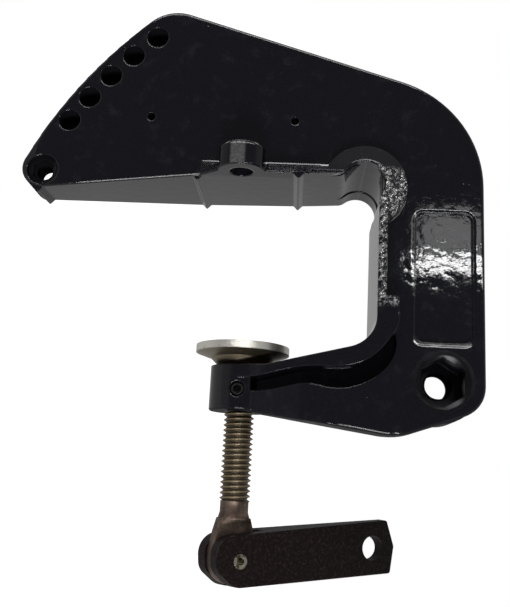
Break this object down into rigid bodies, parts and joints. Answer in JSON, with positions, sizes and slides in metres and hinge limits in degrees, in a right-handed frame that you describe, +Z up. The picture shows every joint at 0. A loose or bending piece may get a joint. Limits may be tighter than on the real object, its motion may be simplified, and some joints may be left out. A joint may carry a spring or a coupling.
{
  "type": "outboard motor clamp bracket",
  "caption": "Cast hook-shaped bracket that clamps an outboard motor to a boat's transom, with tilt holes, hexagonal pivot pocket, clamp screw, pad and folding lever.",
  "frame": {"origin": "on the axis of the tilt pivot's bore and within its length, in the plane of the clamp screw's axis, 20 mm behind the plate's outer face", "axes": "+Z is up in use, along the transom board; +X points inboard, from the seat to the pad; +Y runs along the pivot's bore, from the bracket's outer face inwards"},
  "size_m": [0.2287, 0.0661, 0.1841],
  "materials": {
    "gloss_paint": "gloss black paint over a sand-cast surface",
    "black_steel": "black oxide",
    "screw_steel": "oiled, browned thread",
    "pad_steel": "turned stainless",
    "handle_paint": "matt black over a fine cast grain",
    "pin_steel": "plain, lightly worn"
  },
  "bodies": {
    "bracket": {"clamp_bracket": "gloss_paint", "set_screw": "black_steel"},
    "pad": {"clamp_pad": "pad_steel"},
    "screw": {"clamp_screw": "screw_steel"},
    "handle": {"clamp_handle": "handle_paint", "handle_pin": "pin_steel"}
  },
  "joints": [
    {"name": "pad_travel", "type": "slide", "parent": "bracket", "child": "pad", "axis": [-1, 0, 0], "range_m": [0, 0.033]},
    {"name": "screw_turn", "type": "hinge", "parent": "pad", "child": "screw", "pos_m": [0, 0, -0.0766], "axis": [-1, 0, 0], "range_deg": [0, 5940]},
    {"name": "handle_swing", "type": "hinge", "parent": "screw", "child": "handle", "pos_m": [0.0694, 0, -0.0766], "axis": [0, 0.866, -0.5], "range_deg": [0, 191]}
  ],
  "couplings": [
    {"joint": "pad_travel", "follows": "screw_turn", "m_per_rad": 0.00031831}
  ]
}
